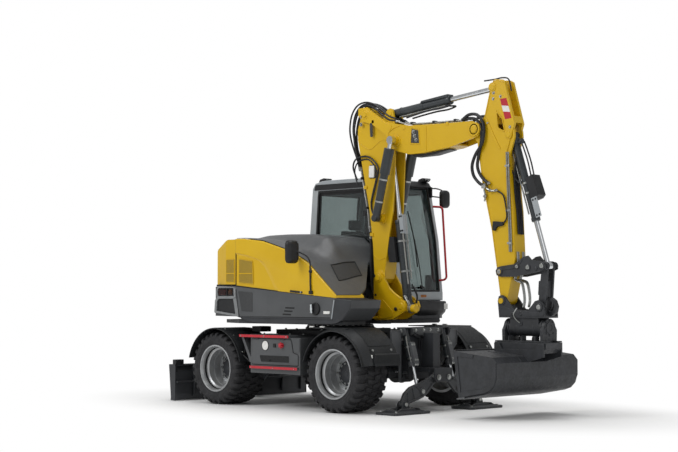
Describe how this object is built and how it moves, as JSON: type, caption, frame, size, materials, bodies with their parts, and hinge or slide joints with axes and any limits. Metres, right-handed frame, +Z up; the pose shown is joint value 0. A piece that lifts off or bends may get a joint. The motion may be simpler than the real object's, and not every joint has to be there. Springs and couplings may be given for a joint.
{
  "type": "wheeled excavator",
  "caption": "Wheeled excavator with a slewing upper body, jointed swing boom, arm, tilting wide bucket, dozer blade and stabilisers.",
  "frame": {"origin": "on the ground under the middle of the machine's length and width, 45 mm behind the boom's swing axis", "axes": "+X forward from the blade to the bucket, +Y to the machine's left, +Z up"},
  "size_m": [5.45, 2.66, 3.925],
  "materials": {
    "yellow_paint": "gloss yellow enamel on steel panels",
    "grey_paint": "satin mid grey enamel",
    "dark_paint": "satin dark grey enamel on plate steel",
    "cast_grey": "dark grey primer on castings",
    "pillar_grey": "light grey enamel on the cab frame",
    "black_plastic": "moulded matt plastic",
    "rim_silver": "silver enamel",
    "tyre": "moulded rubber",
    "ram_black": "black enamel on ram barrels",
    "chrome_rod": "hard chrome rods",
    "glass": "tinted safety glass",
    "seat_fabric": "woven seat cloth",
    "red_paint": "red enamel",
    "engine_grey": "cast block"
  },
  "bodies": {
    "base": {"chassis": "dark_paint", "axles": "dark_paint", "fenders": "black_plastic", "side_boxes": "grey_paint", "stabiliser_frame": "dark_paint"},
    "knuckle_right": {"knuckle_right": "dark_paint"},
    "knuckle_left": {"knuckle_left": "dark_paint"},
    "wheel_fr": {"tyre_fr": "tyre", "rim_fr": "rim_silver"},
    "wheel_fl": {"tyre_fl": "tyre", "rim_fl": "rim_silver"},
    "wheel_rr": {"tyre_rr": "tyre", "rim_rr": "rim_silver"},
    "wheel_rl": {"tyre_rl": "tyre", "rim_rl": "rim_silver"},
    "blade": {"blade": "dark_paint"},
    "blade_barrels": {"blade_barrels": "ram_black"},
    "blade_rods": {"blade_rods": "chrome_rod"},
    "leg_left": {"stabiliser_leg_left": "cast_grey"},
    "pad_left": {"stabiliser_pad_left": "cast_grey"},
    "leg_barrel_left": {"stabiliser_barrel_left": "ram_black"},
    "leg_rod_left": {"stabiliser_rod_left": "chrome_rod"},
    "leg_right": {"stabiliser_leg_right": "cast_grey"},
    "pad_right": {"stabiliser_pad_right": "cast_grey"},
    "leg_barrel_right": {"stabiliser_barrel_right": "ram_black"},
    "leg_rod_right": {"stabiliser_rod_right": "chrome_rod"},
    "upper": {"upper_frame": "dark_paint", "counterweight": "grey_paint", "side_hood": "yellow_paint", "side_cover": "grey_paint", "lower_covers": "grey_paint", "cab_shell": "pillar_grey", "cab_glass": "glass", "seat": "seat_fabric", "console": "black_plastic", "engine": "engine_grey", "mirrors": "black_plastic", "handrail": "red_paint"},
    "rear_hood": {"rear_hood": "yellow_paint"},
    "cab_door": {"cab_door": "pillar_grey", "door_glass": "glass"},
    "swing_bracket": {"swing_bracket": "yellow_paint"},
    "swing_barrel": {"swing_barrel": "ram_black"},
    "swing_rod": {"swing_rod": "chrome_rod"},
    "lower_boom": {"lower_boom": "yellow_paint"},
    "lift_barrel": {"lift_barrel": "ram_black"},
    "lift_rod": {"lift_rod": "chrome_rod"},
    "adjust_barrels": {"adjust_barrels": "ram_black"},
    "adjust_rods": {"adjust_rods": "chrome_rod"},
    "upper_boom": {"upper_boom": "yellow_paint"},
    "arm_barrel": {"arm_barrel": "ram_black"},
    "arm_rod": {"arm_rod": "chrome_rod"},
    "arm": {"arm": "yellow_paint"},
    "bucket_barrel": {"bucket_barrel": "ram_black"},
    "bucket_rod": {"bucket_rod": "chrome_rod"},
    "rocker": {"rocker": "cast_grey"},
    "link": {"link": "cast_grey"},
    "coupler": {"coupler": "cast_grey"},
    "bucket": {"tilt_hitch": "cast_grey", "bucket": "cast_grey"}
  },
  "joints": [
    {"name": "wheel_fr", "type": "hinge", "parent": "knuckle_right", "child": "wheel_fr", "pos_m": [0.37, -0.965, 0.46], "axis": [0, 1, 0], "continuous": true},
    {"name": "wheel_fl", "type": "hinge", "parent": "knuckle_left", "child": "wheel_fl", "pos_m": [0.37, 0.965, 0.46], "axis": [0, 1, 0], "continuous": true},
    {"name": "wheel_rr", "type": "hinge", "parent": "base", "child": "wheel_rr", "pos_m": [-1.78, -0.965, 0.46], "axis": [0, 1, 0], "continuous": true},
    {"name": "wheel_rl", "type": "hinge", "parent": "base", "child": "wheel_rl", "pos_m": [-1.78, 0.965, 0.46], "axis": [0, 1, 0], "continuous": true},
    {"name": "steering", "type": "hinge", "parent": "base", "child": "knuckle_right", "pos_m": [0.37, -0.85, 0.46], "axis": [0, 0, 1], "range_deg": [-25, 25]},
    {"name": "steering_left", "type": "hinge", "parent": "base", "child": "knuckle_left", "pos_m": [0.37, 0.85, 0.46], "axis": [0, 0, 1], "range_deg": [-25, 25]},
    {"name": "blade_lift", "type": "hinge", "parent": "base", "child": "blade", "pos_m": [-2.205, 0, 0.46], "axis": [0, 1, 0], "range_deg": [-8, 30]},
    {"name": "blade_ram_hinge", "type": "hinge", "parent": "base", "child": "blade_barrels", "pos_m": [-2.135, 0, 0.74], "axis": [0, 1, 0], "range_deg": [-4.54, 16.48]},
    {"name": "blade_ram_slide", "type": "slide", "parent": "blade_barrels", "child": "blade_rods", "axis": [-0.8455, 0, -0.534], "range_m": [-0.11562, 0.03156]},
    {"name": "stabiliser_left", "type": "hinge", "parent": "base", "child": "leg_left", "pos_m": [1.01, 0.09, 0.41], "axis": [1, 0, 0], "range_deg": [0, 37]},
    {"name": "pad_left", "type": "hinge", "parent": "leg_left", "child": "pad_left", "pos_m": [1.01, 0.675, 0.11], "axis": [1, 0, 0], "range_deg": [-20.35, 0]},
    {"name": "stabiliser_left_ram_hinge", "type": "hinge", "parent": "base", "child": "leg_barrel_left", "pos_m": [0.735, 0.338, 0.962], "axis": [0.6339, -0.7494, 0.1914], "range_deg": [-0.2, 7.82]},
    {"name": "stabiliser_left_ram_slide", "type": "slide", "parent": "leg_barrel_left", "child": "leg_rod_left", "axis": [0.2891, 0, -0.9573], "range_m": [-0.16457, 0.001]},
    {"name": "stabiliser_right", "type": "hinge", "parent": "base", "child": "leg_right", "pos_m": [1.01, -0.09, 0.41], "axis": [1, 0, 0], "range_deg": [-37, 0]},
    {"name": "pad_right", "type": "hinge", "parent": "leg_right", "child": "pad_right", "pos_m": [1.01, -0.675, 0.11], "axis": [1, 0, 0], "range_deg": [0, 20.35]},
    {"name": "stabiliser_right_ram_hinge", "type": "hinge", "parent": "base", "child": "leg_barrel_right", "pos_m": [0.735, -0.338, 0.962], "axis": [0.6339, 0.7494, 0.1914], "range_deg": [-7.82, 0.2]},
    {"name": "stabiliser_right_ram_slide", "type": "slide", "parent": "leg_barrel_right", "child": "leg_rod_right", "axis": [0.2891, 0, -0.9573], "range_m": [-0.16457, 0.001]},
    {"name": "slew", "type": "hinge", "parent": "base", "child": "upper", "pos_m": [-0.705, 0, 1.0395], "axis": [0, 0, 1], "continuous": true},
    {"name": "engine_hood", "type": "hinge", "parent": "upper", "child": "rear_hood", "pos_m": [-1.5, 0, 2.14], "axis": [0, 1, 0], "range_deg": [0, 50]},
    {"name": "cab_door", "type": "hinge", "parent": "upper", "child": "cab_door", "pos_m": [-0.845, 1.142, 2.1], "axis": [0, 0, 1], "range_deg": [0, 85]},
    {"name": "boom_swing", "type": "hinge", "parent": "upper", "child": "swing_bracket", "pos_m": [0.045, 0, 1.185], "axis": [0, 0, 1], "range_deg": [-45, 45]},
    {"name": "swing_ram_hinge", "type": "hinge", "parent": "upper", "child": "swing_barrel", "pos_m": [-0.905, -0.4, 1.185], "axis": [0, 0, 1], "range_deg": [-4.47, 4.47]},
    {"name": "swing_ram_slide", "type": "slide", "parent": "swing_barrel", "child": "swing_rod", "axis": [1, 0, 0], "range_m": [-0.29912, 0.29912]},
    {"name": "boom_lift", "type": "hinge", "parent": "swing_bracket", "child": "lower_boom", "pos_m": [0.095, 0, 1.618], "axis": [0, 1, 0], "range_deg": [-6, 70]},
    {"name": "lift_ram_hinge", "type": "hinge", "parent": "swing_bracket", "child": "lift_barrel", "pos_m": [0.485, 0, 1.262], "axis": [0, 1, 0], "range_deg": [-5.47, 61.67]},
    {"name": "lift_ram_slide", "type": "slide", "parent": "lift_barrel", "child": "lift_rod", "axis": [-0.1391, 0, 0.9903], "range_m": [-0.55752, 0.0487]},
    {"name": "boom_adjust", "type": "hinge", "parent": "lower_boom", "child": "upper_boom", "pos_m": [-0.135, 0, 3.685], "axis": [0, 1, 0], "range_deg": [-55, 0]},
    {"name": "adjust_ram_hinge", "type": "hinge", "parent": "lower_boom", "child": "adjust_barrels", "pos_m": [0.137, 0, 2.358], "axis": [0, 1, 0], "range_deg": [-1.31, 0.2]},
    {"name": "adjust_ram_slide", "type": "slide", "parent": "adjust_barrels", "child": "adjust_rods", "axis": [0.2608, 0, 0.9654], "range_m": [-0.001, 0.60065]},
    {"name": "arm_swing", "type": "hinge", "parent": "upper_boom", "child": "arm", "pos_m": [1.665, 0, 3.36], "axis": [0, -1, 0], "range_deg": [-14, 64]},
    {"name": "arm_ram_hinge", "type": "hinge", "parent": "upper_boom", "child": "arm_barrel", "pos_m": [0.255, 0, 3.67], "axis": [0, -1, 0], "range_deg": [-1.05, 4.11]},
    {"name": "arm_ram_slide", "type": "slide", "parent": "arm_barrel", "child": "arm_rod", "axis": [0.9949, 0, 0.1007], "range_m": [-0.56054, 0.1234]},
    {"name": "bucket_curl", "type": "hinge", "parent": "arm", "child": "coupler", "pos_m": [2.065, 0, 1.333], "axis": [0, 1, 0], "range_deg": [-30, 60]},
    {"name": "rocker_hinge", "type": "hinge", "parent": "arm", "child": "rocker", "pos_m": [2.025, 0, 1.67], "axis": [0, 1, 0], "range_deg": [-25.49, 50.79]},
    {"name": "link_hinge", "type": "hinge", "parent": "rocker", "child": "link", "pos_m": [2.645, 0, 1.73], "axis": [0, 1, 0], "range_deg": [-33.56, 16.88]},
    {"name": "bucket_ram_hinge", "type": "hinge", "parent": "arm", "child": "bucket_barrel", "pos_m": [2.155, 0, 3.26], "axis": [0, 1, 0], "range_deg": [-3.67, 7.14]},
    {"name": "bucket_ram_slide", "type": "slide", "parent": "bucket_barrel", "child": "bucket_rod", "axis": [0.305, 0, -0.9524], "range_m": [-0.24592, 0.49084]},
    {"name": "bucket_tilt", "type": "hinge", "parent": "coupler", "child": "bucket", "pos_m": [2.345, 0, 1.028], "axis": [1, 0, 0], "range_deg": [-45, 45]}
  ],
  "couplings": [
    {"joint": "steering_left", "follows": "steering", "ratio": 1},
    {"joint": "blade_ram_hinge", "follows": "blade_lift", "ratio": 0.54284},
    {"joint": "blade_ram_slide", "follows": "blade_lift", "m_per_rad": -0.2189},
    {"joint": "pad_left", "follows": "stabiliser_left", "ratio": -0.55},
    {"joint": "stabiliser_left_ram_hinge", "follows": "stabiliser_left", "ratio": 0.20586},
    {"joint": "stabiliser_left_ram_slide", "follows": "stabiliser_left", "m_per_rad": -0.25329},
    {"joint": "pad_right", "follows": "stabiliser_right", "ratio": -0.55},
    {"joint": "stabiliser_right_ram_hinge", "follows": "stabiliser_right", "ratio": 0.20586},
    {"joint": "stabiliser_right_ram_slide", "follows": "stabiliser_right", "m_per_rad": 0.25329},
    {"joint": "swing_ram_hinge", "follows": "boom_swing", "ratio": 0.0948},
    {"joint": "swing_ram_slide", "follows": "boom_swing", "m_per_rad": 0.37958},
    {"joint": "lift_ram_hinge", "follows": "boom_lift", "ratio": 0.87821},
    {"joint": "lift_ram_slide", "follows": "boom_lift", "m_per_rad": -0.45552},
    {"joint": "adjust_ram_hinge", "follows": "boom_adjust", "ratio": 0.02023},
    {"joint": "adjust_ram_slide", "follows": "boom_adjust", "m_per_rad": -0.62468},
    {"joint": "arm_ram_hinge", "follows": "arm_swing", "ratio": 0.0611},
    {"joint": "arm_ram_slide", "follows": "arm_swing", "m_per_rad": -0.50093},
    {"joint": "rocker_hinge", "follows": "bucket_curl", "ratio": 0.84312},
    {"joint": "link_hinge", "follows": "bucket_curl", "ratio": -0.55601},
    {"joint": "bucket_ram_hinge", "follows": "bucket_curl", "ratio": 0.11567},
    {"joint": "bucket_ram_slide", "follows": "bucket_curl", "m_per_rad": 0.46776}
  ]
}
